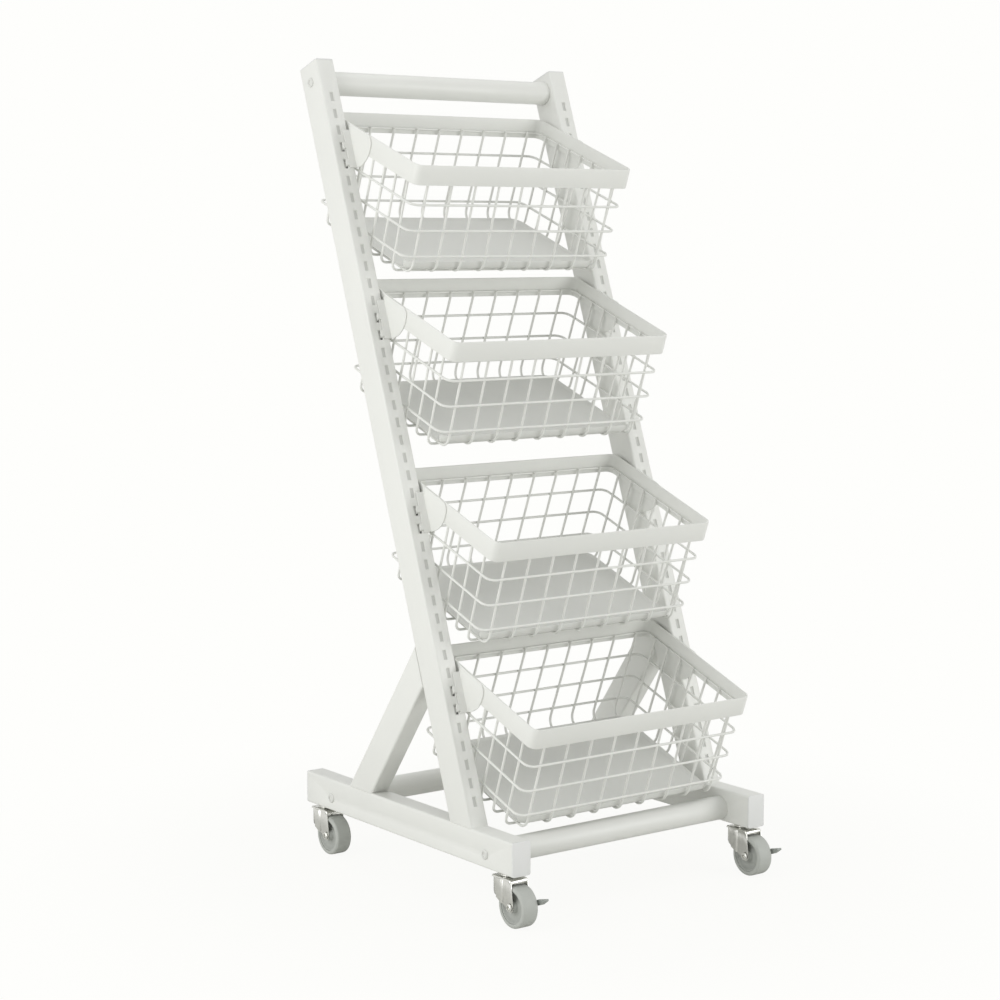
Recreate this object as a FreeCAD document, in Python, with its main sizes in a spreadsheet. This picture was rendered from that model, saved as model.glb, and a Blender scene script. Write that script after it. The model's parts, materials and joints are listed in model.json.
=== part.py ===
"""Rolling storage cart: four wire baskets hung on two slotted, leaning uprights.

The frame is welded rectangular tube on four swivel casters. Each basket hooks
into the slots of both uprights and lifts off forwards and up.

Millimetres. X runs to the right, -Y to the front, +Z up. The origin is on the
floor, midway between the feet and midway along them.
"""
import FreeCAD, Part
import math
import os
import re

import Sketcher
from FreeCAD import Placement, Rotation, Vector

# Driving dimensions: millimetres, degrees and counts
SIZES = (
    # frame of rectangular tube
    ("frame_width", 450),
    ("foot_length", 510),
    ("tube_wide", 30),
    ("tube_deep", 47),
    ("tube_wall", 2),
    ("tube_corner", 3),
    ("lean", 19.75),
    ("upright_setback", 93.2),
    ("upright_length", 1108.7),
    ("brace_setback", 115.7),
    ("brace_lean", 36.3),
    # plastic caps in the open tube ends
    ("cap_thick", 2),
    ("cap_plug", 12),
    ("cap_fit", 0.15),
    # column of hook slots in each upright
    ("slot_wide", 6),
    ("slot_long", 14),
    ("slot_pitch", 25.4),
    ("slot_drop", 58),
    ("slot_low", 30),
    # round bars between the two sides, with the bolts that hold them
    ("bar_dia", 34),
    ("bar_wall", 1.5),
    ("bar_rise", 19),
    ("front_bar_setback", 61),
    ("rear_bar_setback", 68),
    ("handle_drop", 27.9),
    ("plug_long", 20),
    ("plug_fit", 0.1),
    ("bolt_dia", 8),
    ("bolt_fit", 0.3),
    ("bolt_head_dia", 14),
    ("bolt_head_high", 2.5),
    ("bolt_head_edge", 1),
    ("bolt_grip", 16),
    # swivel casters
    ("caster_height", 70),
    ("caster_setback", 29),
    ("caster_trail", 22),
    ("stem_dia", 10),
    ("stem_rise", 18),
    ("nut_wide", 17),
    ("nut_high", 8),
    ("running_fit", 0.05),
    ("swivel_gap", 0.3),
    ("collar_dia", 23),
    ("collar_high", 3.9),
    ("rivet_dia", 18),
    ("rivet_high", 2.5),
    ("crown_thick", 2.5),
    ("crown_round", 3),
    ("fork_wide", 30),
    ("fork_gap", 26.4),
    ("fork_rear", 17),
    ("fork_knee", 22.5),
    ("fork_front", 24.5),
    ("fork_slope", 4.5),
    ("fork_boss_dia", 14),
    ("wheel_dia", 57),
    ("wheel_wide", 25),
    ("tyre_deep", 6),
    ("tyre_round", 3.5),
    ("tyre_fit", 0.05),
    ("hub_boss_dia", 15),
    ("hub_web", 9),
    ("hub_rim", 2.5),
    ("hub_inset", 1.5),
    ("axle_dia", 8),
    ("axle_head_dia", 11),
    ("axle_head_high", 2.5),
    # brake lever beside the wheel of each front caster
    ("pedal_raise", 18),
    ("pedal_hub_dia", 16),
    ("pedal_thick", 2.5),
    ("pedal_arm_long", 26),
    ("pedal_arm_wide", 7.5),
    ("pedal_long", 37.5),
    ("pedal_wide", 8),
    ("pedal_tip", 2.5),
    # baskets: a sheet rim, welded wires and a loose sheet tray
    ("basket_count", 4),
    ("top_row_slot", 3),
    ("bottom_row_slot", 6),
    ("basket_tilt", 20.5),
    ("basket_set", 35.7),
    ("side_gap", 3.5),
    ("rim_wide", 234.5),
    ("rim_high", 29),
    ("rim_thick", 2),
    ("rim_corner", 12),
    ("ring_dia", 3.2),
    ("ring_deep", 20.6),
    ("wire_dia", 3),
    ("wire_gap", 0.05),
    ("wire_top", 18),
    ("basket_deep", 160),
    ("side_taper", 3.5),
    ("end_flare", 4),
    ("wire_bend", 15),
    ("side_bend", 10),
    ("hoop_count", 3),
    ("hoop_first", 58),
    ("hoop_pitch", 37.7),
    ("hoop_corner", 12),
    ("long_wire_count", 9),
    ("long_wire_margin", 17.2),
    ("cross_wire_count", 7),
    ("cross_wire_margin", 24),
    ("tray_gap", 0.3),
    ("tray_thick", 1.2),
    ("tray_lip", 14),
    ("tray_edge", 4),
    ("tray_side_gap", 6),
    ("tray_rear_gap", 10),
    ("tray_front_gap", 4),
    ("tray_corner", 20),
    # hook bracket on each side of a basket
    ("hook_drop", 68.4),
    ("hook_angle", 30),
    ("hook_high", 7),
    ("hook_reach", 11),
    ("hook_side", 0.4),
    ("tab_high", 9),
    ("bracket_thick", 2),
    ("bracket_gap", 0.2),
    ("flange_wide", 13),
    ("flange_above", 25.4),
    ("flange_below", 6),
    ("web_front", 116),
    ("web_corner", 13),
    ("web_bulge", 7),
)

NAMES = {name for name, value in SIZES}

doc = FreeCAD.newDocument("RollingStorageCart")
sheet = doc.addObject("Spreadsheet::Sheet", "Size")
for row, (name, value) in enumerate(SIZES, start=1):
    sheet.set(f"A{row}", str(value))
    sheet.setAlias(f"A{row}", name)
doc.recompute()


def size(name):
    """The number in the sheet's cell of that name."""
    return float(getattr(sheet, name))


def bound(text):
    """An expression on the sheet's cells, from one written with their bare names."""
    def cell(match):
        word = match.group()
        return f"Size.{word}" if word in NAMES else word
    return re.sub(r"[a-z_]+", cell, text)


# Sketches and features that every body uses


def new_body(label):
    body = doc.addObject("PartDesign::Body", label)
    body.Label = label
    return body


def new_sketch(body, role):
    sketch = body.newObject("Sketcher::SketchObject", "Sketch")
    plane = next(item for item in body.Origin.OriginFeatures if item.Role == role)
    sketch.AttachmentSupport = [(plane, "")]
    sketch.MapMode = "FlatFace"
    return sketch


def bind_point(sketch, edge, end, point, start):
    """Fixes a point of a sketch at two bound distances from the sketch's origin."""
    for kind, text, value in zip(("DistanceX", "DistanceY"), point, start):
        index = sketch.addConstraint(Sketcher.Constraint(kind, -1, 1, edge, end, value))
        sketch.setExpression(f"Constraints[{index}]", bound(text))


def draw_polygon(sketch, corners):
    """A closed outline whose corners are pairs of expressions."""
    count = len(corners)
    first = sketch.GeometryCount
    turn = 2 * math.pi / count
    start = [Vector(math.cos(turn * i), math.sin(turn * i), 0) for i in range(count)]
    for i in range(count):
        sketch.addGeometry(Part.LineSegment(start[i], start[(i + 1) % count]))
    for i in range(count):
        following = first + (i + 1) % count
        sketch.addConstraint(Sketcher.Constraint("Coincident", first + i, 2, following, 1))
    for i, corner in enumerate(corners):
        bind_point(sketch, first + i, 1, corner, start[i])
    return sketch


def draw_circle(sketch, centre, radius):
    circle = sketch.addGeometry(Part.Circle(Vector(1, 1, 0), Vector(0, 0, 1), 1))
    bind_point(sketch, circle, 3, centre, (1, 1))
    index = sketch.addConstraint(Sketcher.Constraint("Radius", circle, 1))
    sketch.setExpression(f"Constraints[{index}]", bound(radius))
    return sketch


def rectangle(left, bottom, right, top):
    return [(left, bottom), (right, bottom), (right, top), (left, top)]


def pad(body, sketch, length, side="Symmetric", reverse=False):
    feature = body.newObject("PartDesign::Pad", "Pad")
    feature.Profile = sketch
    feature.SideType = side
    feature.Reversed = reverse
    feature.setExpression("Length", bound(length))
    doc.recompute()
    return feature


def pocket(body, sketch, length=None):
    """A cut of that length, half on each side of the sketch, or right through."""
    before = body.Shape.Volume
    feature = body.newObject("PartDesign::Pocket", "Pocket")
    feature.Profile = sketch
    feature.SideType = "Symmetric"
    if length is None:
        feature.Type = "ThroughAll"
    else:
        feature.setExpression("Length", bound(length))
    doc.recompute()
    if not body.Shape.Volume < before:
        raise RuntimeError(f"a pocket in {body.Label} cuts nothing")
    return feature


def revolve(body, sketch, axis):
    feature = body.newObject("PartDesign::Revolution", "Revolution")
    feature.Profile = sketch
    feature.ReferenceAxis = (sketch, [axis])
    feature.Angle = 360
    doc.recompute()
    return feature


def round_edges(body, feature, direction, corners, radius):
    """Rounds the straight edges along a direction that pass through the given corners."""
    names = []
    for index, edge in enumerate(feature.Shape.Edges, start=1):
        if not isinstance(edge.Curve, Part.Line):
            continue
        if edge.Curve.Direction.cross(direction).Length > 1e-6:
            continue
        for corner in corners:
            away = edge.Vertexes[0].Point - corner
            if away.cross(direction).Length < 1e-4:
                names.append(f"Edge{index}")
    rounding = body.newObject("PartDesign::Fillet", "Fillet")
    rounding.Base = (feature, names)
    rounding.setExpression("Radius", bound(radius))
    doc.recompute()
    return rounding


def place(item, across="0", along="0", up="0", turn="0", axis=Vector(1, 0, 0)):
    """Puts an object at bound distances, turned by a bound angle about an axis."""
    item.Placement = Placement(Vector(), Rotation(axis, 1))
    item.setExpression("Placement.Base.x", bound(across))
    item.setExpression("Placement.Base.y", bound(along))
    item.setExpression("Placement.Base.z", bound(up))
    item.setExpression("Placement.Rotation.Angle", bound(turn))
    return item


def solid_feature(label, shape, placement):
    """A piece whose shape is made directly, put at its place."""
    item = doc.addObject("Part::Feature", label)
    item.Label = label
    item.Shape = shape
    item.Placement = placement
    return item


def group(label, items):
    """Like pieces that share one node."""
    item = doc.addObject("Part::Compound", label)
    item.Label = label
    item.Links = items
    return item


pieces = []
SIDES = (("left", -1), ("right", 1))
AXIS_X = Vector(1, 0, 0)
AXIS_Y = Vector(0, 1, 0)
AXIS_Z = Vector(0, 0, 1)

# Places that several pieces share, as expressions
POST_X = "(frame_width - tube_wide) / 2"
FOOT_TOP = "(caster_height + tube_deep)"
UPRIGHT_Y = "(upright_setback - foot_length / 2)"
FRONT_BAR_Y = "(front_bar_setback - foot_length / 2)"
REAR_BAR_Y = "(foot_length / 2 - rear_bar_setback)"
SLOT_COUNT = "(floor((upright_length - slot_drop - slot_low) / slot_pitch) + 1)"


def on_upright(back, along):
    """World Y and Z expressions of a point behind and along an upright's front face."""
    across = f"{UPRIGHT_Y} + ({along}) * sin(lean) + ({back}) * cos(lean)"
    up = f"{FOOT_TOP} + ({along}) * cos(lean) - ({back}) * sin(lean)"
    return across, up


HANDLE_Y, HANDLE_Z = on_upright("tube_deep / 2", "upright_length - handle_drop")


# Frame: feet, uprights and braces of rectangular tube, welded together


def tube_corners(low, high):
    """Points on the four long edges of a tube that runs along Y or Z."""
    half = size("tube_wide") / 2
    return [Vector(side * half, 0, level) for side in (-1, 1) for level in (low, high)]


def foot(label, side):
    body = new_body(label)
    outer = rectangle("-tube_wide / 2", "0", "tube_wide / 2", "tube_deep")
    section = draw_polygon(new_sketch(body, "XZ_Plane"), outer)
    tube = pad(body, section, "foot_length - 2 * cap_thick")
    round_edges(body, tube, AXIS_Y, tube_corners(0, size("tube_deep")), "tube_corner")
    inner = rectangle("tube_wall - tube_wide / 2", "tube_wall",
                      "tube_wide / 2 - tube_wall", "tube_deep - tube_wall")
    pocket(body, draw_polygon(new_sketch(body, "XZ_Plane"), inner))
    stem_holes = new_sketch(body, "XY_Plane")
    for end in ("-1", "1"):
        centre = ("0", f"{end} * (foot_length / 2 - caster_setback)")
        draw_circle(stem_holes, centre, "stem_dia / 2 + running_fit")
    pocket(body, stem_holes, "4 * tube_wall")
    bolt_holes = new_sketch(body, "YZ_Plane")
    for along in (FRONT_BAR_Y, REAR_BAR_Y):
        draw_circle(bolt_holes, (along, "bar_rise"), "bolt_dia / 2 + bolt_fit")
    pocket(body, bolt_holes)
    return place(body, f"{side} * {POST_X}", "0", "caster_height")


def upright(label, side):
    """Tube that leans back: its front face passes through the local origin."""
    body = new_body(label)
    outer = rectangle("-tube_wide / 2", "0", "tube_wide / 2", "tube_deep")
    section = draw_polygon(new_sketch(body, "XY_Plane"), outer)
    tube = pad(body, section, "upright_length - cap_thick", "One side")
    half = size("tube_wide") / 2
    corners = [Vector(edge * half, back, 0) for edge in (-1, 1) for back in (0, size("tube_deep"))]
    round_edges(body, tube, AXIS_Z, corners, "tube_corner")
    inner = rectangle("tube_wall - tube_wide / 2", "tube_wall",
                      "tube_wide / 2 - tube_wall", "tube_deep - tube_wall")
    pocket(body, draw_polygon(new_sketch(body, "XY_Plane"), inner))
    mitre = [("-tube_deep", "-tube_deep * tan(lean)"),
             ("2 * tube_deep", "-tube_deep * tan(lean)"),
             ("2 * tube_deep", "2 * tube_deep * tan(lean)")]
    pocket(body, draw_polygon(new_sketch(body, "YZ_Plane"), mitre))
    bolt_hole = new_sketch(body, "YZ_Plane")
    draw_circle(bolt_hole, ("tube_deep / 2", "upright_length - handle_drop"),
                "bolt_dia / 2 + bolt_fit")
    pocket(body, bolt_hole)
    lowest = f"upright_length - slot_drop - slot_pitch * ({SLOT_COUNT} - 1)"
    slot = rectangle("-slot_wide / 2", f"{lowest} - slot_long / 2",
                     "slot_wide / 2", f"{lowest} + slot_long / 2")
    first_slot = pocket(body, draw_polygon(new_sketch(body, "XZ_Plane"), slot), "4 * tube_wall")
    column = body.newObject("PartDesign::LinearPattern", "SlotColumn")
    column.Originals = [first_slot]
    upward = next(item for item in body.Origin.OriginFeatures if item.Role == "Z_Axis")
    column.Direction = (upward, [""])
    column.setExpression("Length", bound(f"slot_pitch * ({SLOT_COUNT} - 1)"))
    column.setExpression("Occurrences", bound(SLOT_COUNT))
    body.Tip = column
    return place(body, f"{side} * {POST_X}", UPRIGHT_Y, FOOT_TOP, "-lean")


def brace(label, side):
    """Tube from the top of the foot to the back of the upright, mitred to both."""
    body = new_body(label)
    back_foot = f"({UPRIGHT_Y} + tube_deep / cos(lean))"

    def side_view(rear, front):
        """Outline between two lines along the brace, given where they leave the foot."""
        corners = []
        for line in (rear, front):
            rise = f"(({line}) - {back_foot}) / (tan(brace_lean) + tan(lean))"
            on_foot = (line, FOOT_TOP)
            on_post = (f"({line}) - ({rise}) * tan(brace_lean)", f"{FOOT_TOP} + ({rise})")
            corners.append((on_foot, on_post))
        return [corners[0][0], corners[0][1], corners[1][1], corners[1][0]]

    rear = "(foot_length / 2 - brace_setback)"
    front = f"({rear} - tube_deep / cos(brace_lean))"
    wall = "tube_wall / cos(brace_lean)"
    tube = pad(body, draw_polygon(new_sketch(body, "YZ_Plane"), side_view(rear, front)), "tube_wide")
    tilt = math.radians(size("brace_lean"))
    direction = Vector(0, -math.sin(tilt), math.cos(tilt))
    rear_y = size("foot_length") / 2 - size("brace_setback")
    front_y = rear_y - size("tube_deep") / math.cos(tilt)
    top = size("caster_height") + size("tube_deep")
    half = size("tube_wide") / 2
    corners = [Vector(edge * half, y, top) for edge in (-1, 1) for y in (rear_y, front_y)]
    round_edges(body, tube, direction, corners, "tube_corner")
    hollow = side_view(f"{rear} - {wall}", f"{front} + {wall}")
    pocket(body, draw_polygon(new_sketch(body, "YZ_Plane"), hollow), "tube_wide - 2 * tube_wall")
    return place(body, f"{side} * {POST_X}")


def end_cap(name):
    """Plug for an open tube end: its flange lies to -Y and its plug to +Y."""
    body = new_body(name)
    outer = rectangle("-tube_wide / 2", "0", "tube_wide / 2", "tube_deep")
    flange = pad(body, draw_polygon(new_sketch(body, "XZ_Plane"), outer), "cap_thick", "One side")
    round_edges(body, flange, AXIS_Y, tube_corners(0, size("tube_deep")), "tube_corner")
    inset = "(tube_wall + cap_fit)"
    inner = rectangle(f"{inset} - tube_wide / 2", inset,
                      f"tube_wide / 2 - {inset}", f"tube_deep - {inset}")
    pad(body, draw_polygon(new_sketch(body, "XZ_Plane"), inner), "cap_plug", "One side", True)
    return body


for name, side in SIDES:
    pieces.append(foot(f"{name}_foot", side))
    pieces.append(upright(f"{name}_upright", side))
    pieces.append(brace(f"{name}_brace", side))

foot_caps = []
upright_caps = []
CAP_Y = "(foot_length / 2 - cap_thick)"
CAP_TOP_Y, CAP_TOP_Z = on_upright("0", "upright_length - cap_thick")
for name, side in SIDES:
    across = f"{side} * {POST_X}"
    front_cap = end_cap(f"{name}_front_cap")
    foot_caps.append(place(front_cap, across, f"-{CAP_Y}", "caster_height"))
    rear_cap = end_cap(f"{name}_rear_cap")
    foot_caps.append(place(rear_cap, across, CAP_Y, "caster_height", "180", AXIS_Z))
    top_cap = end_cap(f"{name}_top_cap")
    upright_caps.append(place(top_cap, across, CAP_TOP_Y, CAP_TOP_Z, "-90 - lean"))
pieces.append(group("foot_end_caps", foot_caps))
pieces.append(group("upright_end_caps", upright_caps))


# Round bars across the cart, each held by a bolt through the tube into a threaded end plug


def round_bar(label, along, up):
    body = new_body(label)
    section = new_sketch(body, "YZ_Plane")
    draw_circle(section, ("0", "0"), "bar_dia / 2")
    draw_circle(section, ("0", "0"), "bar_dia / 2 - bar_wall")
    pad(body, section, "frame_width - 2 * tube_wide")
    return place(body, "0", along, up)


def bar_plug(name):
    """Threaded plug inside the end of a bar, its outer face at the local origin."""
    body = new_body(name)
    half_section = rectangle("-plug_long", "bolt_dia / 2 + running_fit",
                             "0", "bar_dia / 2 - bar_wall - plug_fit")
    revolve(body, draw_polygon(new_sketch(body, "XZ_Plane"), half_section), "H_Axis")
    return body


def bar_bolt(name):
    """Low round-headed bolt: the head sits outside the local origin, the shank inside."""
    body = new_body(name)
    half_section = [("-tube_wide - bolt_grip", "0"),
                    ("-tube_wide - bolt_grip", "bolt_dia / 2"),
                    ("0", "bolt_dia / 2"),
                    ("0", "bolt_head_dia / 2"),
                    ("bolt_head_edge", "bolt_head_dia / 2"),
                    ("bolt_head_high", "bolt_head_dia / 2 - bolt_head_high"),
                    ("bolt_head_high", "0")]
    revolve(body, draw_polygon(new_sketch(body, "XZ_Plane"), half_section), "H_Axis")
    return body


BARS = (
    ("handle_bar", HANDLE_Y, HANDLE_Z),
    ("front_bar", FRONT_BAR_Y, "caster_height + bar_rise"),
    ("rear_bar", REAR_BAR_Y, "caster_height + bar_rise"),
)
plugs = []
bolts = []
for bar_name, along, up in BARS:
    pieces.append(round_bar(bar_name, along, up))
    for name, side in SIDES:
        turn = "0" if side > 0 else "180"
        plug = bar_plug(f"{bar_name}_{name}_plug")
        plugs.append(place(plug, f"{side} * (frame_width / 2 - tube_wide)", along, up, turn, AXIS_Z))
        bolt = bar_bolt(f"{bar_name}_{name}_bolt")
        bolts.append(place(bolt, f"{side} * frame_width / 2", along, up, turn, AXIS_Z))
pieces.append(group("bar_end_plugs", plugs))
pieces.append(group("bar_bolts", bolts))


# Swivel casters: stem, fork, axle, hub and tyre, and a brake lever on the front pair

AXLE_Y = "(-caster_trail)"
AXLE_Z = "(wheel_dia / 2)"
CROWN_TOP = "(caster_height - collar_high - swivel_gap)"
CROWN_UNDER = f"({CROWN_TOP} - crown_thick)"


def caster_nut(name):
    """Hexagon nut on top of the foot's lower wall."""
    body = new_body(name)
    section = new_sketch(body, "XY_Plane")
    reach = "nut_wide / 2 / cos(30)"
    corners = [(f"{reach} * cos({60 * k})", f"{reach} * sin({60 * k})") for k in range(6)]
    draw_polygon(section, corners)
    draw_circle(section, ("0", "0"), "stem_dia / 2 + running_fit")
    pad(body, section, "nut_high", "One side")
    return body


def caster_stem(label):
    """Threaded stem with a collar against the foot and a riveted lower end under the fork."""
    body = new_body(label)
    rivet_top = f"({CROWN_UNDER} - swivel_gap)"
    half_section = [("0", f"{rivet_top} - rivet_high"),
                    ("rivet_dia / 2", f"{rivet_top} - rivet_high"),
                    ("rivet_dia / 2", rivet_top),
                    ("stem_dia / 2", rivet_top),
                    ("stem_dia / 2", f"{CROWN_TOP} + swivel_gap"),
                    ("collar_dia / 2", f"{CROWN_TOP} + swivel_gap"),
                    ("collar_dia / 2", "caster_height"),
                    ("stem_dia / 2", "caster_height"),
                    ("stem_dia / 2", "caster_height + stem_rise"),
                    ("0", "caster_height + stem_rise")]
    revolve(body, draw_polygon(new_sketch(body, "XZ_Plane"), half_section), "V_Axis")
    return body


def caster_fork(label):
    """Pressed fork: two cheeks under a crown, with an eye for the axle in each cheek."""
    body = new_body(label)
    profile = [("fork_rear", CROWN_TOP),
               ("fork_rear", f"{CROWN_TOP} - fork_knee"),
               (AXLE_Y, f"{AXLE_Z} - fork_boss_dia / 2"),
               (f"{AXLE_Y} - fork_boss_dia / 2", AXLE_Z),
               ("-fork_front", f"{CROWN_TOP} - fork_slope"),
               ("fork_slope - fork_front", CROWN_TOP)]
    pad(body, draw_polygon(new_sketch(body, "YZ_Plane"), profile), "fork_wide")
    eye = draw_circle(new_sketch(body, "YZ_Plane"), (AXLE_Y, AXLE_Z), "fork_boss_dia / 2")
    block = pad(body, eye, "fork_wide")
    top = size("caster_height") - size("collar_high") - size("swivel_gap")
    half = size("fork_wide") / 2
    shoulders = [Vector(edge * half, 0, top) for edge in (-1, 1)]
    round_edges(body, block, AXIS_Y, shoulders, "crown_round")
    below = [("2 * fork_rear", CROWN_UNDER),
             ("2 * fork_rear", "-wheel_dia"),
             ("-2 * caster_trail - wheel_dia", "-wheel_dia"),
             ("-2 * caster_trail - wheel_dia", f"{CROWN_UNDER} - fork_slope"),
             ("-fork_front", f"{CROWN_UNDER} - fork_slope"),
             ("fork_slope - fork_front", CROWN_UNDER)]
    pocket(body, draw_polygon(new_sketch(body, "YZ_Plane"), below), "fork_gap")
    swivel = draw_circle(new_sketch(body, "XY_Plane"), ("0", "0"), "stem_dia / 2 + running_fit")
    pocket(body, swivel)
    axle_eye = draw_circle(new_sketch(body, "YZ_Plane"), (AXLE_Y, AXLE_Z),
                           "axle_dia / 2 + running_fit")
    pocket(body, axle_eye)
    return body


def caster_axle(label, braked):
    """Riveted axle: one head outside each cheek, or outside the brake lever."""
    body = new_body(label)
    left = "(-fork_wide / 2)"
    right = "(fork_wide / 2 + pedal_thick + 2 * swivel_gap)" if braked else "(fork_wide / 2)"
    half_section = [(f"{left} - axle_head_high", "0"),
                    (f"{left} - axle_head_high", "axle_head_dia / 2 - axle_head_high / 2"),
                    (f"{left} - axle_head_high / 2", "axle_head_dia / 2"),
                    (left, "axle_head_dia / 2"),
                    (left, "axle_dia / 2"),
                    (right, "axle_dia / 2"),
                    (right, "axle_head_dia / 2"),
                    (f"{right} + axle_head_high / 2", "axle_head_dia / 2"),
                    (f"{right} + axle_head_high", "axle_head_dia / 2 - axle_head_high / 2"),
                    (f"{right} + axle_head_high", "0")]
    revolve(body, draw_polygon(new_sketch(body, "XZ_Plane"), half_section), "H_Axis")
    return body


HUB_RADIUS = "(wheel_dia / 2 - tyre_deep)"


def wheel_hub(label):
    """Moulded hub: a bored boss, a thin web and a rim under the tyre."""
    body = new_body(label)
    inside = f"{HUB_RADIUS} - hub_rim"
    edge = "(wheel_wide / 2 - hub_inset)"
    half_section = [("-wheel_wide / 2", "axle_dia / 2 + running_fit"),
                    ("wheel_wide / 2", "axle_dia / 2 + running_fit"),
                    ("wheel_wide / 2", "hub_boss_dia / 2"),
                    ("hub_web / 2", "hub_boss_dia / 2"),
                    ("hub_web / 2", inside),
                    (edge, inside),
                    (edge, HUB_RADIUS),
                    (f"-{edge}", HUB_RADIUS),
                    (f"-{edge}", inside),
                    ("-hub_web / 2", inside),
                    ("-hub_web / 2", "hub_boss_dia / 2"),
                    ("-wheel_wide / 2", "hub_boss_dia / 2")]
    revolve(body, draw_polygon(new_sketch(body, "XZ_Plane"), half_section), "H_Axis")
    return body


def wheel_tyre(label):
    """Soft tread ring on the hub, with rounded shoulders."""
    body = new_body(label)
    half_section = rectangle("-wheel_wide / 2", f"{HUB_RADIUS} + tyre_fit",
                             "wheel_wide / 2", "wheel_dia / 2")
    ring = revolve(body, draw_polygon(new_sketch(body, "XZ_Plane"), half_section), "H_Axis")
    rounding = body.newObject("PartDesign::Fillet", "Shoulders")
    outer = size("wheel_dia") / 2 - 1e-3
    names = [f"Edge{index}" for index, edge in enumerate(ring.Shape.Edges, start=1)
             if isinstance(edge.Curve, Part.Circle) and edge.Curve.Radius > outer]
    rounding.Base = (ring, names)
    rounding.setExpression("Radius", bound("tyre_round"))
    doc.recompute()
    return body


def brake_pedal(label):
    """Lever on the axle beside the fork: an eye, an arm and a foot tongue at its end."""
    body = new_body(label)
    eye = draw_circle(new_sketch(body, "YZ_Plane"), ("0", "0"), "pedal_hub_dia / 2")
    pad(body, eye, "pedal_thick", "One side")
    arm = rectangle("-pedal_arm_long", "-pedal_arm_wide / 2", "0", "pedal_arm_wide / 2")
    pad(body, draw_polygon(new_sketch(body, "YZ_Plane"), arm), "pedal_thick", "One side")
    tongue = [("-pedal_arm_long + pedal_arm_wide", "-pedal_arm_wide / 2"),
              ("-pedal_arm_long + pedal_arm_wide", "pedal_arm_wide / 2"),
              ("-pedal_long", "pedal_tip"),
              ("-pedal_long", "0"),
              ("-pedal_arm_long", "-pedal_arm_wide / 2")]
    pad(body, draw_polygon(new_sketch(body, "YZ_Plane"), tongue), "pedal_wide", "One side")
    bore = draw_circle(new_sketch(body, "YZ_Plane"), ("0", "0"), "axle_dia / 2 + running_fit")
    pocket(body, bore)
    return body


caster_nuts = []
for end, end_sign in (("front", -1), ("rear", 1)):
    for name, side in SIDES:
        corner = f"{end}_{name}"
        across = f"{side} * {POST_X}"
        stem_y = f"{end_sign} * (foot_length / 2 - caster_setback)"
        axle_y = f"{stem_y} - caster_trail"
        nut = caster_nut(f"{corner}_nut")
        caster_nuts.append(place(nut, across, stem_y, "caster_height + tube_wall"))
        pieces.append(place(caster_stem(f"{corner}_caster_stem"), across, stem_y))
        pieces.append(place(caster_fork(f"{corner}_caster_fork"), across, stem_y))
        axle = caster_axle(f"{corner}_caster_axle", end == "front")
        pieces.append(place(axle, across, axle_y, AXLE_Z))
        pieces.append(place(wheel_hub(f"{corner}_wheel_hub"), across, axle_y, AXLE_Z))
        pieces.append(place(wheel_tyre(f"{corner}_wheel_tyre"), across, axle_y, AXLE_Z))
        if end == "front":
            beside = f"{across} + fork_wide / 2 + swivel_gap"
            pedal = brake_pedal(f"{corner}_brake_pedal")
            pieces.append(place(pedal, beside, axle_y, AXLE_Z, "-pedal_raise"))
pieces.append(group("caster_nuts", caster_nuts))


# Baskets. Local frame of each: origin at the middle of the rim's rear top edge,
# X across, -Y towards the front of the basket, -Z down into it

RIM_HALF = "(frame_width / 2 - tube_wide - side_gap)"
rim_half = size("frame_width") / 2 - size("tube_wide") - size("side_gap")
wire_radius = size("wire_dia") / 2
wire_step = size("wire_dia") + size("wire_gap")
ring_inset = size("rim_thick") + size("ring_dia") / 2 + size("wire_gap")
wire_inset = ring_inset + (size("ring_dia") + size("wire_dia")) / 2 + size("wire_gap")
lean = math.radians(size("lean"))
tilt = math.radians(size("basket_tilt"))


def wall_share(deep):
    """Share of the way down from the ring to the basket's bottom."""
    return (deep - size("ring_deep")) / (size("basket_deep") - size("ring_deep"))


def wire_half(deep):
    """Half the width between the axes of the side wires at a depth below the rim's top."""
    return rim_half - wire_inset - wall_share(deep) * size("side_taper")


def wire_ends(deep):
    """Distances forward from the rim's rear face of the rear and front wires' axes."""
    flare = wall_share(deep) * size("end_flare")
    return wire_inset - flare, size("rim_wide") - wire_inset + flare


def rounded_path(points, bend, closed):
    """Straight runs through the points, with an arc of that radius at each corner."""
    count = len(points)
    inner = range(count) if closed else range(1, count - 1)
    arcs = {}
    for i in inner:
        here = points[i]
        before = (points[i - 1] - here).normalize()
        after = (points[(i + 1) % count] - here).normalize()
        half_angle = before.getAngle(after) / 2
        reach = bend / math.tan(half_angle)
        middle = (before + after).normalize() * (bend / math.sin(half_angle) - bend)
        arcs[i] = (here + before * reach, here + middle, here + after * reach)
    edges = []
    for i in range(count if closed else count - 1):
        following = (i + 1) % count
        run_start = arcs[i][2] if i in arcs else points[i]
        run_end = arcs[following][0] if following in arcs else points[following]
        edges.append(Part.LineSegment(run_start, run_end).toShape())
        if following in arcs:
            edges.append(Part.Arc(*arcs[following]).toShape())
    return Part.Wire(edges)


def bent_rod(points, bend, diameter, closed=False):
    """Round rod along a path of straight runs and bends."""
    path = rounded_path(points, bend, closed)
    first = path.Edges[0]
    start = first.valueAt(first.FirstParameter)
    along = first.tangentAt(first.FirstParameter)
    circle = Part.Wire([Part.makeCircle(diameter / 2, start, along)])
    return path.makePipeShell([circle], True, True)


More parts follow.
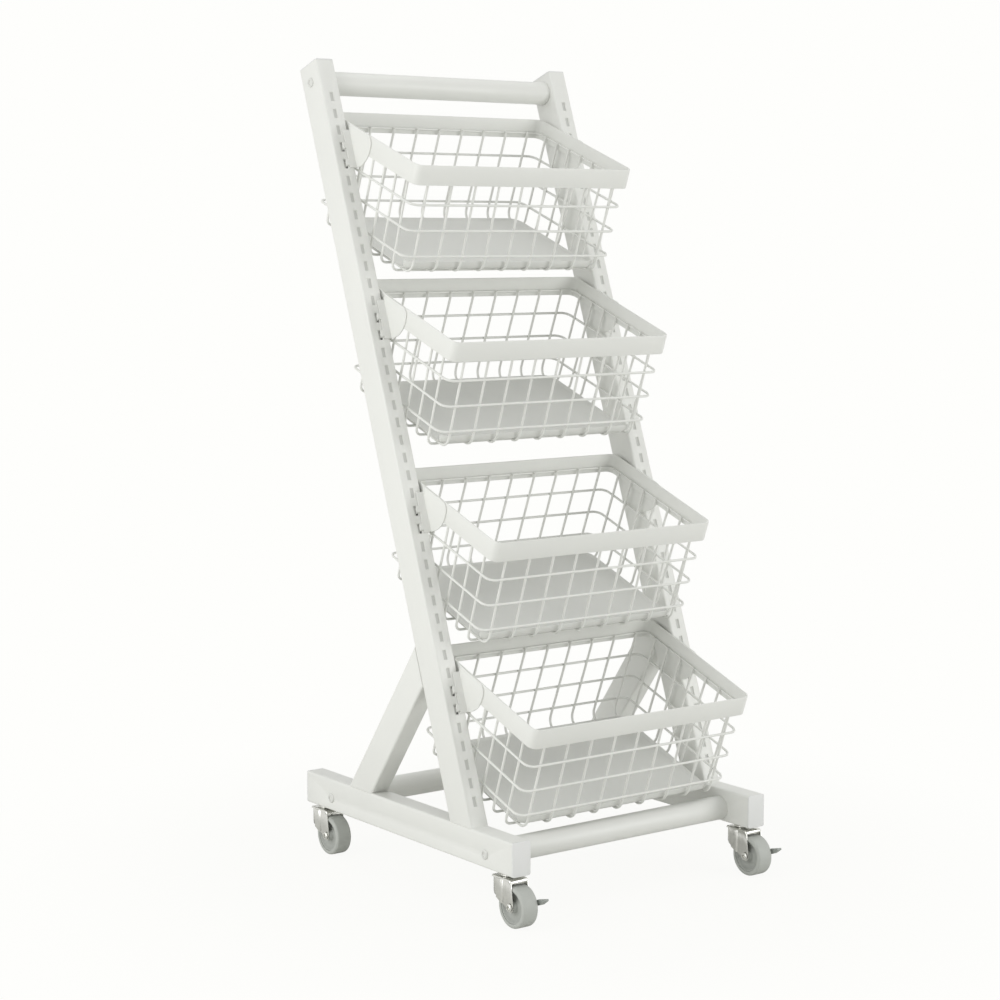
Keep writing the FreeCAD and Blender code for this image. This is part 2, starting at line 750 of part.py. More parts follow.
def rounded_block(name, edge, corner, height, side):
    """Block with upright rounded corners, inset by edge from the rim's outer faces."""
    body = new_body(name)
    outer = rectangle(f"{edge} - {RIM_HALF}", f"{edge} - rim_wide", f"{RIM_HALF} - {edge}", f"-{edge}")
    block = pad(body, draw_polygon(new_sketch(body, "XY_Plane"), outer), height, side, True)
    upright_edges = [f"Edge{index}" for index, line in enumerate(block.Shape.Edges, start=1)
                     if abs(line.tangentAt(0).z) > 0.5]
    rounding = body.newObject("PartDesign::Fillet", "Corners")
    rounding.Base = (block, upright_edges)
    rounding.setExpression("Radius", bound(corner))
    doc.recompute()
    return body


def basket_rim(label):
    """Band of sheet round the top of the basket."""
    band = doc.addObject("Part::Cut", label)
    band.Label = label
    band.Base = rounded_block(f"{label}_outside", "0", "rim_corner", "rim_high", "One side")
    band.Tool = rounded_block(f"{label}_inside", "rim_thick", "rim_corner - rim_thick",
                              "4 * rim_high", "Symmetric")
    return band


def level_hoop(half, rear, front, deep, corner, diameter):
    """Closed rounded rectangle of rod at one depth."""
    points = [Vector(half, -rear, -deep), Vector(-half, -rear, -deep),
              Vector(-half, -front, -deep), Vector(half, -front, -deep)]
    return bent_rod(points, corner, diameter, closed=True)


hoop_depths = [size("hoop_first") + k * size("hoop_pitch") for k in range(int(size("hoop_count")))]


def corner_setback(x):
    """How far a wire at that X stands back to clear the rounded corners of the hoops."""
    corner = size("hoop_corner")
    setback = 0
    for deep in hoop_depths:
        into = abs(x) + wire_radius - (wire_half(deep) + wire_step - corner)
        if into > 0:
            setback = max(setback, corner - math.sqrt(corner ** 2 - into ** 2))
    return setback


def basket_hoops():
    """The ring inside the rim, and the hoops round the outside of the upright wires."""
    corner = size("rim_corner") - ring_inset
    hoops = [level_hoop(rim_half - ring_inset, ring_inset, size("rim_wide") - ring_inset,
                        size("ring_deep"), corner, size("ring_dia"))]
    for deep in hoop_depths:
        rear, front = wire_ends(deep)
        hoops.append(level_hoop(wire_half(deep) + wire_step, rear - wire_step, front + wire_step,
                                deep, size("hoop_corner"), size("wire_dia")))
    return Part.makeCompound(hoops)


def spread(low, high, count):
    return [low + (high - low) * k / (count - 1) for k in range(count)]


def basket_long_wires():
    """U-shaped wires from the front rim, under the tray, to the rear rim."""
    top = size("wire_top")
    deep = size("basket_deep")
    rear_top, front_top = wire_ends(top)
    rear, front = wire_ends(deep)
    edge = wire_half(deep) - size("long_wire_margin")
    wires = []
    for x in spread(-edge, edge, int(size("long_wire_count"))):
        back = corner_setback(x)
        points = [Vector(x, back - front_top, -top), Vector(x, back - front, -deep),
                  Vector(x, -back - rear, -deep), Vector(x, -back - rear_top, -top)]
        wires.append(bent_rod(points, size("wire_bend"), size("wire_dia")))
    return Part.makeCompound(wires)


def basket_cross_wires():
    """U-shaped wires from side to side, under the long wires."""
    top = size("wire_top")
    deep = size("basket_deep") + wire_step
    rear, front = wire_ends(size("basket_deep"))
    margin = size("cross_wire_margin")
    wires = []
    for forward in spread(rear + margin, front - margin, int(size("cross_wire_count"))):
        points = [Vector(-wire_half(top), -forward, -top), Vector(-wire_half(deep), -forward, -deep),
                  Vector(wire_half(deep), -forward, -deep), Vector(wire_half(top), -forward, -top)]
        wires.append(bent_rod(points, size("side_bend"), size("wire_dia")))
    return Part.makeCompound(wires)


def basket_tray():
    """Sheet pan that lies on the long wires, curled up all round and higher along the front."""
    thick = size("tray_thick")
    under = wire_radius + size("tray_gap") - size("basket_deep")
    rear, front = wire_ends(size("basket_deep"))
    half = wire_half(size("basket_deep")) - wire_radius - size("tray_side_gap")
    rear_y = -(rear + wire_radius + size("tray_rear_gap"))
    front_y = -(front - wire_radius - size("tray_front_gap"))
    block = Part.makeBox(2 * half, rear_y - front_y, size("tray_lip"), Vector(-half, front_y, under))
    upright_edges = [edge for edge in block.Edges if abs(edge.tangentAt(0).z) > 0.5]
    block = block.makeFillet(size("tray_corner"), upright_edges)
    floor_edges = [edge for edge in block.Edges if edge.BoundBox.ZMax < under + 1e-6]
    bend = min(size("wire_bend") - wire_radius - size("tray_front_gap"), size("tray_lip") - thick)
    block = block.makeFillet(bend, floor_edges)
    top = max(block.Faces, key=lambda face: face.CenterOfMass.z)
    pan = block.makeThickness([top], -thick, 1e-3)
    margin = size("tray_lip")
    behind_lip = Vector(-half - margin, front_y + bend, under + size("tray_edge"))
    return pan.cut(Part.makeBox(2 * (half + margin), rear_y - front_y, size("tray_lip"), behind_lip))


def upright_point(out, along):
    """Basket-local point, in the plane across X, from an upright's front face and length.

    out is measured forward from the front face, along from the basket's own level.
    """
    angle = lean + tilt
    reach = size("basket_set") + out
    return Vector(0, -reach * math.cos(angle) + along * math.sin(angle),
                  reach * math.sin(angle) + along * math.cos(angle))


def plate(edges, x_from, x_to):
    """Flat plate across X with the given outline."""
    face = Part.Face(Part.Wire(edges))
    face.translate(Vector(x_from, 0, 0))
    return face.extrude(Vector(x_to - x_from, 0, 0))


def outline(points):
    return [Part.LineSegment(a, b).toShape() for a, b in zip(points, points[1:] + points[:1])]


def hook_bracket(side):
    """Plate on the rim's side, with a flange before the upright and two hooked tabs."""
    thick = size("bracket_thick")
    near = size("bracket_gap")
    far = near + thick
    web_x = rim_half
    finger_in = (size("frame_width") - size("tube_wide") - size("slot_wide")) / 2 + size("hook_side")
    finger_out = finger_in + thick
    flange_top = -size("hook_drop") + size("flange_above")
    flange_bottom = -size("hook_drop") - size("slot_pitch") - size("flange_below")
    flange = outline([upright_point(near, flange_top), upright_point(far, flange_top),
                      upright_point(far, flange_bottom), upright_point(near, flange_bottom)])
    strip = plate(flange, web_x, web_x + size("flange_wide"))
    low = upright_point(far, flange_bottom)
    high = upright_point(near, flange_top)
    toe = upright_point(near, flange_bottom)
    corner = size("web_corner")
    start = Vector(0, corner - size("web_front"), 0)
    nose = Vector(0, -size("web_front"), -corner)
    round_off = start + Vector(0, -math.sin(math.pi / 4), math.cos(math.pi / 4) - 1) * corner
    chord = low - nose
    bulge = (low + nose) * 0.5 + Vector(0, chord.z, -chord.y).normalize() * size("web_bulge")
    web_edges = [Part.LineSegment(Vector(0, high.y, 0), start).toShape(),
                 Part.Arc(start, round_off, nose).toShape(),
                 Part.Arc(nose, bulge, low).toShape(),
                 Part.LineSegment(low, toe).toShape(),
                 Part.LineSegment(toe, high).toShape(),
                 Part.LineSegment(high, Vector(0, high.y, 0)).toShape()]
    solids = [plate(web_edges, web_x, web_x + thick), strip]
    angle = math.radians(size("hook_angle"))
    for k in range(2):
        level = -size("hook_drop") - k * size("slot_pitch")
        rise = size("hook_high") / math.cos(angle) / 2
        back = far + size("tube_wall") + size("hook_reach")
        mid_wall = far + size("tube_wall") / 2
        top_out = level + mid_wall * math.tan(angle)
        top_in = top_out - back * math.tan(angle)
        half = size("tab_high") / 2
        tab = outline([upright_point(near, top_out + half), upright_point(far, top_out + half),
                       upright_point(far, top_out - half), upright_point(near, top_out - half)])
        solids.append(plate(tab, web_x + thick, finger_out))
        finger = outline([upright_point(far, top_out + rise), upright_point(far, top_out - rise),
                          upright_point(far - back, top_in - rise),
                          upright_point(far - back, top_in + rise)])
        solids.append(plate(finger, finger_in, finger_out))
    bracket = solids[0].multiFuse(solids[1:]).removeSplitter()
    if side > 0:
        return bracket
    return bracket.mirror(Vector(), Vector(1, 0, 0))


slot_count = math.floor((size("upright_length") - size("slot_drop") - size("slot_low"))
                        / size("slot_pitch")) + 1
lowest_slot = size("upright_length") - size("slot_drop") - size("slot_pitch") * (slot_count - 1)
basket_count = int(size("basket_count"))
rows = spread(slot_count - 1 - size("top_row_slot"), size("bottom_row_slot"), basket_count)
upright_y = size("upright_setback") - size("foot_length") / 2
foot_top = size("caster_height") + size("tube_deep")
hoops = basket_hoops()
long_wires = basket_long_wires()
cross_wires = basket_cross_wires()
tray = basket_tray()
brackets = Part.makeCompound([hook_bracket(side) for name, side in SIDES])

for number, row in enumerate(rows, start=1):
    along = lowest_slot + round(row) * size("slot_pitch") + size("hook_drop")
    origin = Vector(0, upright_y + along * math.sin(lean) + size("basket_set") * math.cos(lean),
                    foot_top + along * math.cos(lean) - size("basket_set") * math.sin(lean))
    seat = Placement(origin, Rotation(AXIS_X, size("basket_tilt")))
    rim = basket_rim(f"basket_{number}_rim")
    rim.Placement = seat
    pieces.append(rim)
    pieces.append(solid_feature(f"basket_{number}_hoops", hoops, seat))
    pieces.append(solid_feature(f"basket_{number}_long_wires", long_wires, seat))
    pieces.append(solid_feature(f"basket_{number}_cross_wires", cross_wires, seat))
    pieces.append(solid_feature(f"basket_{number}_tray", tray, seat))
    pieces.append(solid_feature(f"basket_{number}_brackets", brackets, seat))


# Every object is sound before any file is written

doc.recompute()
for item in doc.Objects:
    if "Invalid" in item.State or "Error" in item.State:
        raise RuntimeError(f"{item.Label} failed: {item.State}")
for piece in pieces:
    if piece.Shape.isNull() or not piece.Shape.isValid() or not piece.Shape.Solids:
        raise RuntimeError(f"{piece.Label} has no valid solid")

os.makedirs("parts", exist_ok=True)
for piece in pieces:
    piece.Shape.exportStep(f"parts/{piece.Label}.step")
    print(piece.Label, len(piece.Shape.Solids), round(piece.Shape.Volume))
print(len(pieces), "nodes")
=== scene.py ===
import json
import math

import bpy
from mathutils import Matrix, Vector


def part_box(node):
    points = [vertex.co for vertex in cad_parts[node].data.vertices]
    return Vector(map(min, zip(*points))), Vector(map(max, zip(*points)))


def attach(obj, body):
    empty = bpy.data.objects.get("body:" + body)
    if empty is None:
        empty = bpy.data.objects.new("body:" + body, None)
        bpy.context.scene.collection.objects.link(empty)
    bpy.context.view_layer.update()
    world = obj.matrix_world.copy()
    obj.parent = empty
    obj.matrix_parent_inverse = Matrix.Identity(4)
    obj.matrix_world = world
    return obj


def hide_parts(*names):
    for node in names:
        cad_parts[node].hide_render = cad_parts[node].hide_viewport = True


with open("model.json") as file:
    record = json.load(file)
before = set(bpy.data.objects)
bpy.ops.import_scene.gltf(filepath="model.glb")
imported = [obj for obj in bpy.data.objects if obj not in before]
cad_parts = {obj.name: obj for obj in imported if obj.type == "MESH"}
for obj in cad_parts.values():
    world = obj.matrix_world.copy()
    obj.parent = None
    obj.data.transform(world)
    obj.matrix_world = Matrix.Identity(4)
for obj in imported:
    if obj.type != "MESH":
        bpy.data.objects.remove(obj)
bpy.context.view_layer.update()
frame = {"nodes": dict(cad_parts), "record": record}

# Camera: it stands before the cart and to its left, at waist height, turned in and tipped a little
# down. A long lens keeps the two uprights nearly parallel.
CAMERA_PLACE = (-1.96203, -2.56420, 0.90615)        # metres
CAMERA_YAW = 36.626        # degrees to the right of straight ahead
CAMERA_LEVEL = 90        # degrees up from straight down
CAMERA_PITCH = -6.623        # degrees up from level
CAMERA_LENS = 81.32        # millimetres, as is the sensor
CAMERA_SENSOR = 36
bpy.ops.object.select_all(action="DESELECT")
bpy.ops.object.camera_add(
    location=CAMERA_PLACE,
    rotation=(math.radians(CAMERA_LEVEL + CAMERA_PITCH), 0, math.radians(-CAMERA_YAW)))
camera = bpy.context.object
camera.data.lens = CAMERA_LENS
camera.data.sensor_width = CAMERA_SENSOR
bpy.context.scene.camera = camera

# Studio: a pale floor that runs into a white surround, so only a soft shadow lies under the wheels.
# Lit by that surround and by three soft boxes: a tall one on the left, one in front and to the right,
# and one above. Lengths are in metres.
SURROUND = "#FEFEFC"
SURROUND_LIGHT = 0.52
FLOOR_COLOUR = "#E4E4E0"
FLOOR_ACROSS = 30
FLOOR_SHADOW = 0.06        # share of the shaded floor that the eye sees round the cart
FLOOR_IN_METAL = 0.8        # the same share where polished metal mirrors the floor
FLOOR_SHADOW_FADE = 0.3        # the share falls off from here, and is nothing at the shadow's reach
FLOOR_SHADOW_REACH = 0.9
SOFT_BOXES = (
    # name, place, aim, size across and up, power in watts
    ("left_soft_box", (-2.3, -0.1, 1.0), (0, 0, 0.6), (1.8, 2.4), 29.5),
    ("front_soft_box", (2.0, -3.0, 1.1), (0, 0, 0.6), (2.0, 1.6), 43),
    ("top_soft_box", (0.2, 0.2, 3.4), (0, 0, 0.4), (2.2, 2.2), 16),
)


def linear(text):
    """Linear red, green, blue and alpha of an sRGB colour written as #RRGGBB."""
    shares = [int(text[i:i + 2], 16) / 255 for i in (1, 3, 5)]
    return [c / 12.92 if c <= 0.04045 else ((c + 0.055) / 1.055) ** 2.4 for c in shares] + [1]


def add_node(tree, kind, links=None, **settings):
    """Adds a node, sets its properties, and fills its sockets with values or other sockets."""
    node = tree.nodes.new(kind)
    for name, value in settings.items():
        setattr(node, name, value)
    for socket, value in (links or {}).items():
        if isinstance(value, bpy.types.NodeSocket):
            tree.links.new(value, node.inputs[socket])
        else:
            node.inputs[socket].default_value = value
    return node


def seen_directly(tree):
    """1 for what the eye sees, also mirrored or through a clear body, and 0 for light on things."""
    rays = add_node(tree, "ShaderNodeLightPath")
    first = add_node(tree, "ShaderNodeMath", operation="MAXIMUM",
                     links={0: rays.outputs["Is Camera Ray"], 1: rays.outputs["Is Glossy Ray"]})
    second = add_node(tree, "ShaderNodeMath", operation="MAXIMUM",
                      links={0: first.outputs[0], 1: rays.outputs["Is Transmission Ray"]})
    return second.outputs[0]


world = bpy.data.worlds.new("white_surround")
bpy.context.scene.world = world
world.use_nodes = True
world.node_tree.nodes.clear()
level = add_node(world.node_tree, "ShaderNodeMapRange",
                 links={"Value": seen_directly(world.node_tree), "To Min": SURROUND_LIGHT, "To Max": 1})
surround = add_node(world.node_tree, "ShaderNodeBackground",
                    links={"Color": linear(SURROUND), "Strength": level.outputs[0]})
add_node(world.node_tree, "ShaderNodeOutputWorld", links={"Surface": surround.outputs[0]})

bpy.ops.mesh.primitive_plane_add(size=FLOOR_ACROSS)
floor = bpy.context.object
floor.name = "floor"
paving = bpy.data.materials.new("pale_floor")
paving.use_nodes = True
paving.node_tree.nodes.clear()
place = add_node(paving.node_tree, "ShaderNodeTexCoord")
away = add_node(paving.node_tree, "ShaderNodeVectorMath", operation="LENGTH",
                links={0: place.outputs["Object"]})
rays = add_node(paving.node_tree, "ShaderNodeLightPath")
shadow = add_node(paving.node_tree, "ShaderNodeMapRange",
                  links={"Value": rays.outputs["Is Glossy Ray"], "To Min": FLOOR_SHADOW,
                         "To Max": FLOOR_IN_METAL})
near = add_node(paving.node_tree, "ShaderNodeMapRange", interpolation_type="SMOOTHSTEP",
                links={"Value": away.outputs["Value"], "From Min": FLOOR_SHADOW_FADE,
                       "From Max": FLOOR_SHADOW_REACH, "To Min": shadow.outputs[0], "To Max": 0})
shaded = add_node(paving.node_tree, "ShaderNodeBsdfDiffuse", links={"Color": linear(FLOOR_COLOUR)})
white = add_node(paving.node_tree, "ShaderNodeEmission",
                 links={"Color": linear(SURROUND), "Strength": 1})
to_eye = add_node(paving.node_tree, "ShaderNodeMixShader",
                  links={0: near.outputs[0], 1: white.outputs[0], 2: shaded.outputs[0]})
sight = add_node(paving.node_tree, "ShaderNodeMixShader",
                 links={0: seen_directly(paving.node_tree), 1: shaded.outputs[0], 2: to_eye.outputs[0]})
add_node(paving.node_tree, "ShaderNodeOutputMaterial", links={"Surface": sight.outputs[0]})
floor.data.materials.append(paving)

for name, spot, aim, across, power in SOFT_BOXES:
    bpy.ops.object.light_add(type="AREA", location=spot)
    lamp = bpy.context.object
    lamp.name = name
    lamp.rotation_euler = (Vector(aim) - Vector(spot)).to_track_quat("-Z", "Y").to_euler()
    lamp.data.shape = "RECTANGLE"
    lamp.data.size, lamp.data.size_y = across
    lamp.data.energy = power
bpy.context.scene.view_settings.view_transform = "Standard"

# Feet and braces: rectangular steel tube, cut to length and mitred, welded and then powder coated
# white. The coat draws back a little at every cut edge, which leaves them softly rounded.
MM = 0.001        # a millimetre in metres
FRAME_WHITE = "#E9EAE6"
FRAME_WHITE_LOW = "#E3E4E0"
COAT_ROUGHNESS = 0.42
COAT_PEEL_MM = 2.5        # real orange peel is about half this; drawn coarser so that it shows
SKIN_IOR = 1.5
CLOUD_MM = 90
CLOUD_DETAIL = 3
GRAIN_DETAIL = 2
GLOSS_SPREAD = 0.06
RIPPLE_STRENGTH = 0.25
RIPPLE_MM = 0.05
MIX_FIRST, MIX_SECOND, MIX_RESULT = 6, 7, 2        # the colour sockets of a mix
TUBE_EDGE_MM = 0.7
EDGE_STEPS = 2
SHARP = math.radians(40)        # an edge that turns by more than this is rounded
FLAT = math.radians(0.3)        # faces that turn by less than this are one face
MERGE_MM = 0.002


def skin(name, colour, low_colour, roughness, grain_mm):
    """A coat, plastic or rubber: an even colour, faintly clouded, with a fine ripple in its surface."""
    material = bpy.data.materials.new(name)
    material.use_nodes = True
    tree = material.node_tree
    shader = tree.nodes["Principled BSDF"]
    shader.inputs["IOR"].default_value = SKIN_IOR
    place = add_node(tree, "ShaderNodeTexCoord")
    cloud = add_node(tree, "ShaderNodeTexNoise",
                     links={"Vector": place.outputs["Object"], "Scale": 1 / (CLOUD_MM * MM),
                            "Detail": CLOUD_DETAIL})
    tone = add_node(tree, "ShaderNodeMix", data_type="RGBA",
                    links={0: cloud.outputs["Fac"], MIX_FIRST: linear(colour),
                           MIX_SECOND: linear(low_colour)})
    grain = add_node(tree, "ShaderNodeTexNoise",
                     links={"Vector": place.outputs["Object"], "Scale": 1 / (grain_mm * MM),
                            "Detail": GRAIN_DETAIL})
    gloss = add_node(tree, "ShaderNodeMapRange",
                     links={"Value": grain.outputs["Fac"], "To Min": roughness - GLOSS_SPREAD,
                            "To Max": roughness + GLOSS_SPREAD})
    ripple = add_node(tree, "ShaderNodeBump",
                      links={"Height": grain.outputs["Fac"], "Strength": RIPPLE_STRENGTH,
                             "Distance": RIPPLE_MM * MM})
    tree.links.new(tone.outputs[MIX_RESULT], shader.inputs["Base Color"])
    tree.links.new(gloss.outputs[0], shader.inputs["Roughness"])
    tree.links.new(ripple.outputs[0], shader.inputs["Normal"])
    return material


def finished(piece, edge_mm, material):
    """Ends the modelling of a piece: its sharp edges are rounded, it is shaded smooth and coated."""
    bpy.ops.object.mode_set(mode="OBJECT")
    bpy.ops.object.select_all(action="DESELECT")
    bpy.context.view_layer.objects.active = piece
    piece.select_set(True)
    if edge_mm:
        rounding = piece.modifiers.new("edges", "BEVEL")
        rounding.width = edge_mm * MM
        rounding.segments = EDGE_STEPS
        rounding.limit_method = "ANGLE"
        rounding.angle_limit = SHARP
        bpy.ops.object.modifier_apply(modifier=rounding.name)
    bpy.ops.object.shade_smooth_by_angle(angle=SHARP)
    piece.data.materials.clear()
    piece.data.materials.append(material)
    return piece


def softened(node, name, edge_mm, material, body):
    """Makes a piece with the node's own shape, its sharp edges rounded, that stands for the node."""
    bpy.ops.object.select_all(action="DESELECT")
    piece = bpy.data.objects.new(name, frame["nodes"][node].data.copy())
    bpy.context.collection.objects.link(piece)
    bpy.context.view_layer.objects.active = piece
    piece.select_set(True)
    bpy.ops.object.mode_set(mode="EDIT")
    bpy.ops.mesh.select_all(action="SELECT")
    bpy.ops.mesh.remove_doubles(threshold=MERGE_MM * MM)
    bpy.ops.mesh.dissolve_limited(angle_limit=FLAT)
    finished(piece, edge_mm, material)
    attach(piece, body)
    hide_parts(node)


# Powder coat: satin white, with a faint orange peel that breaks up its highlights.
frame_coat = skin("frame_powder_coat", FRAME_WHITE, FRAME_WHITE_LOW, COAT_ROUGHNESS, COAT_PEEL_MM)
for side in ("left", "right"):
    for tube in ("foot", "brace"):
        softened(f"{side}_{tube}", f"{side}_{tube}_tube", TUBE_EDGE_MM, frame_coat, "frame")

# Uprights: the same tube, mitred onto the feet and leaning back, with a column of punched slots in
# the front face. The slots are cut shallow, and their floors are coated grey as painted shade for the
# dark hollow of the tube behind them. Some slots have room for the baskets' hooks behind them.
POST_WIDE_MM = 30
POST_DEEP_MM = 47
POST_LONG_MM = 1106.7
POST_LEAN = math.radians(19.75)
POST_CORNER_MM = 3
ROUND_STEPS = 4
SLOT_WIDE_MM = 6
SLOT_HIGH_MM = 14
SLOT_PITCH_MM = 25.4
SLOT_LOWEST_MM = 34.7
SLOT_COUNT = 41
SLOT_FLOOR_MM = 1.6
# the grey of the slot floors is painted shade, for the shadow inside the tube
SLOT_SHADE_GREY = "#CFD0CC"
SLOT_SHADE_GREY_LOW = "#C8C9C5"
SLOT_SHADE_ROUGHNESS = 0.5
HOOKED_SLOTS = (5, 6, 15, 16, 26, 27, 36, 37)        # counted from the lowest, which is 0
HOOK_ROOM_MM = (2.8, 14, 17)
HOOK_ROOM_FROM_SLOT_MM = (1.6, 8, -3.5)        # towards the basket, into the tube, up
SLOT_EDGE_MM = 0.35
SAME_MM = 0.01


def at(place_mm, other_mm):
    """Whether two places along an axis are the same, apart from rounding."""
    return abs(place_mm - other_mm) < SAME_MM


def pick(piece, kind, test):
    """Selects in edit mode just those vertices, edges or faces whose corners all pass the test."""
    bpy.context.view_layer.objects.active = piece
    bpy.ops.object.mode_set(mode="EDIT")
    bpy.ops.mesh.select_mode(type=kind)
    bpy.ops.mesh.select_all(action="DESELECT")
    bpy.ops.object.mode_set(mode="OBJECT")
    mesh = piece.data
    for part in {"VERT": mesh.vertices, "EDGE": mesh.edges, "FACE": mesh.polygons}[kind]:
        corners = [part.index] if kind == "VERT" else part.vertices
        part.select = all(test(mesh.vertices[index].co / MM) for index in corners)
    bpy.ops.object.mode_set(mode="EDIT")


def put(model, name, seat, body, node):
    """Sets a copy of a model, with a mesh of its own, at its seat on a body to stand for a node."""
    bpy.ops.object.select_all(action="DESELECT")
    piece = bpy.data.objects.new(name, model.data.copy())
    bpy.context.collection.objects.link(piece)
    piece.matrix_world = seat
    bpy.context.view_layer.objects.active = piece
    piece.select_set(True)
    bpy.ops.object.transform_apply(location=True, rotation=True, scale=True)
    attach(piece, body)
    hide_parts(node)


def cut_away(piece, blocks_mm):
    """Takes blocks, given by their middles and sizes, out of a piece."""
    bpy.ops.object.select_all(action="DESELECT")
    punches = []
    for middle, block in blocks_mm:
        bpy.ops.mesh.primitive_cube_add(size=1, location=Vector(middle) * MM)
        bpy.context.object.scale = Vector(block) * MM
        punches.append(bpy.context.object)
    bpy.ops.object.select_all(action="DESELECT")
    for punch in punches:
        punch.select_set(True)
    bpy.context.view_layer.objects.active = punches[0]
    bpy.ops.object.join()
    punch = bpy.context.object
    bpy.ops.object.transform_apply(location=True, rotation=True, scale=True)
    bpy.ops.object.select_all(action="DESELECT")
    bpy.context.view_layer.objects.active = piece
    piece.select_set(True)
    cut = piece.modifiers.new("cut", "BOOLEAN")
    cut.operation = "DIFFERENCE"
    cut.solver = "EXACT"
    cut.object = punch
    bpy.ops.object.modifier_apply(modifier=cut.name)
    bpy.data.objects.remove(punch)


bpy.ops.object.select_all(action="DESELECT")
bpy.ops.mesh.primitive_cube_add(size=1)
post = bpy.context.object
for vertex in post.data.vertices:
    back = POST_DEEP_MM if vertex.co.y > 0 else 0
    height = POST_LONG_MM if vertex.co.z > 0 else back * math.tan(POST_LEAN)
    vertex.co = Vector((vertex.co.x * POST_WIDE_MM, back, height)) * MM
for x in (-POST_WIDE_MM / 2, POST_WIDE_MM / 2):
    for y in (0, POST_DEEP_MM):
        pick(post, "EDGE", lambda c: at(c.x, x) and at(c.y, y))
        bpy.ops.mesh.bevel(offset=POST_CORNER_MM * MM, segments=ROUND_STEPS)
bpy.ops.object.mode_set(mode="OBJECT")
# Painted shade: the slot floors are coated greyer and duller than the tube, so the slots read as
# shaded grey marks.
slot_shade_coat = skin("slot_floor_painted_shade", SLOT_SHADE_GREY, SLOT_SHADE_GREY_LOW, SLOT_SHADE_ROUGHNESS, COAT_PEEL_MM)
slot_block = (SLOT_WIDE_MM, 2 * SLOT_FLOOR_MM, SLOT_HIGH_MM)
cut_away(post, [((0, 0, SLOT_LOWEST_MM + SLOT_PITCH_MM * k), slot_block) for k in range(SLOT_COUNT)])
for side, inward in (("left", 1), ("right", -1)):
    tube = bpy.data.objects.new(side, post.data.copy())
    bpy.context.collection.objects.link(tube)
    along, deep, up = HOOK_ROOM_FROM_SLOT_MM
    cut_away(tube, [((inward * along, deep, up + SLOT_LOWEST_MM + SLOT_PITCH_MM * k), HOOK_ROOM_MM)
                    for k in HOOKED_SLOTS])
    finished(tube, SLOT_EDGE_MM, frame_coat)
    tube.data.materials.append(slot_shade_coat)
    # the slot floors take the painted shade
    pick(tube, "FACE", lambda c: at(c.y, SLOT_FLOOR_MM))
    tube.active_material_index = 1
    bpy.ops.object.material_slot_assign()
    bpy.ops.object.mode_set(mode="OBJECT")
    low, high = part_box(f"{side}_upright")
    foot = Matrix.Translation(((low[0] + high[0]) / 2, low[1], low[2]))
    put(tube, f"{side}_upright_tube", foot @ Matrix.Rotation(-POST_LEAN, 4, "X"),
        "frame", f"{side}_upright")
    bpy.data.objects.remove(tube)
bpy.data.objects.remove(post)

# Round bars: the push handle and the two floor bars, drawn steel tube in the same white coat,
# butted between the two sides.
BARS = ("handle_bar", "front_bar", "rear_bar")
BAR_EDGE_MM = 0.4
for bar in BARS:
    softened(bar, f"{bar}_tube", BAR_EDGE_MM, frame_coat, "frame")

# Tube end caps: moulded white polyethylene plugs pushed into the open ends, with a soft matt skin
# a touch cooler than the coat.
CAP_WHITE = "#E8E9E8"
CAP_WHITE_LOW = "#E2E3E2"
CAP_ROUGHNESS = 0.5
CAP_GRAIN_MM = 1.6
CAP_EDGE_MM = 0.9
cap_plastic = skin("cap_polyethylene", CAP_WHITE, CAP_WHITE_LOW, CAP_ROUGHNESS, CAP_GRAIN_MM)
softened("foot_end_caps", "foot_caps", CAP_EDGE_MM, cap_plastic, "frame")
softened("upright_end_caps", "upright_caps", CAP_EDGE_MM, cap_plastic, "frame")

# Bar bolts: turned steel with low round heads and a socket for the key, in white enamel, pulled down
# on the outer face of each tube.
BOLT_WHITE = "#DEDFDB"
BOLT_WHITE_LOW = "#D6D7D3"
BOLT_ROUGHNESS = 0.35
BOLT_GRAIN_MM = 1.5
BOLT_OUTLINE_MM = ((-46, 0), (-46, 4), (0, 4), (0, 7), (0.9, 7), (1.8, 6.5), (2.4, 5.4), (2.5, 4.4),
                   (2.3, 3.5), (1, 3), (1, 0))
TURN_STEPS = 40


def turned(name, outline_mm, axis, edge_mm, material):
    """A turned piece: its half outline, as places along the axis and radii, spun once round."""
    bpy.ops.object.select_all(action="DESELECT")
    bpy.ops.mesh.primitive_circle_add(vertices=len(outline_mm), fill_type="NOTHING")
    piece = bpy.context.object
    piece.name = name
    for vertex, (along, radius) in zip(piece.data.vertices, outline_mm):
        place = (along, 0, radius) if axis == "X" else (radius, 0, along)
        vertex.co = Vector(place) * MM
    pick(piece, "EDGE", lambda c: True)
    turning = (1, 0, 0) if axis == "X" else (0, 0, 1)
    bpy.ops.mesh.spin(steps=TURN_STEPS, angle=2 * math.pi, center=(0, 0, 0), axis=turning)
    bpy.ops.mesh.select_all(action="SELECT")
    bpy.ops.mesh.remove_doubles(threshold=MERGE_MM * MM)
    bpy.ops.mesh.delete_loose(use_verts=False, use_edges=True, use_faces=False)
    bpy.ops.mesh.select_all(action="SELECT")
    bpy.ops.mesh.normals_make_consistent(inside=False)
    return finished(piece, edge_mm, material)


# Enamel: smoother and a little darker than the frame's coat, so the heads stand out on the tubes.
bolt_enamel = skin("bolt_enamel", BOLT_WHITE, BOLT_WHITE_LOW, BOLT_ROUGHNESS, BOLT_GRAIN_MM)
bolt = turned("bolt", BOLT_OUTLINE_MM, "X", 0, bolt_enamel)
for bar in BARS:
    low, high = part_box(bar)
    for side, corner, turn in (("left", 0, math.pi), ("right", 1, 0)):
        face_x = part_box(f"{side}_foot")[corner][0]
        seat = Matrix.Translation((face_x, (low[1] + high[1]) / 2, (low[2] + high[2]) / 2))
        put(bolt, f"{bar}_{side}_bolt", seat @ Matrix.Rotation(turn, 4, "Z"), "frame", "bar_bolts")
bpy.data.objects.remove(bolt)

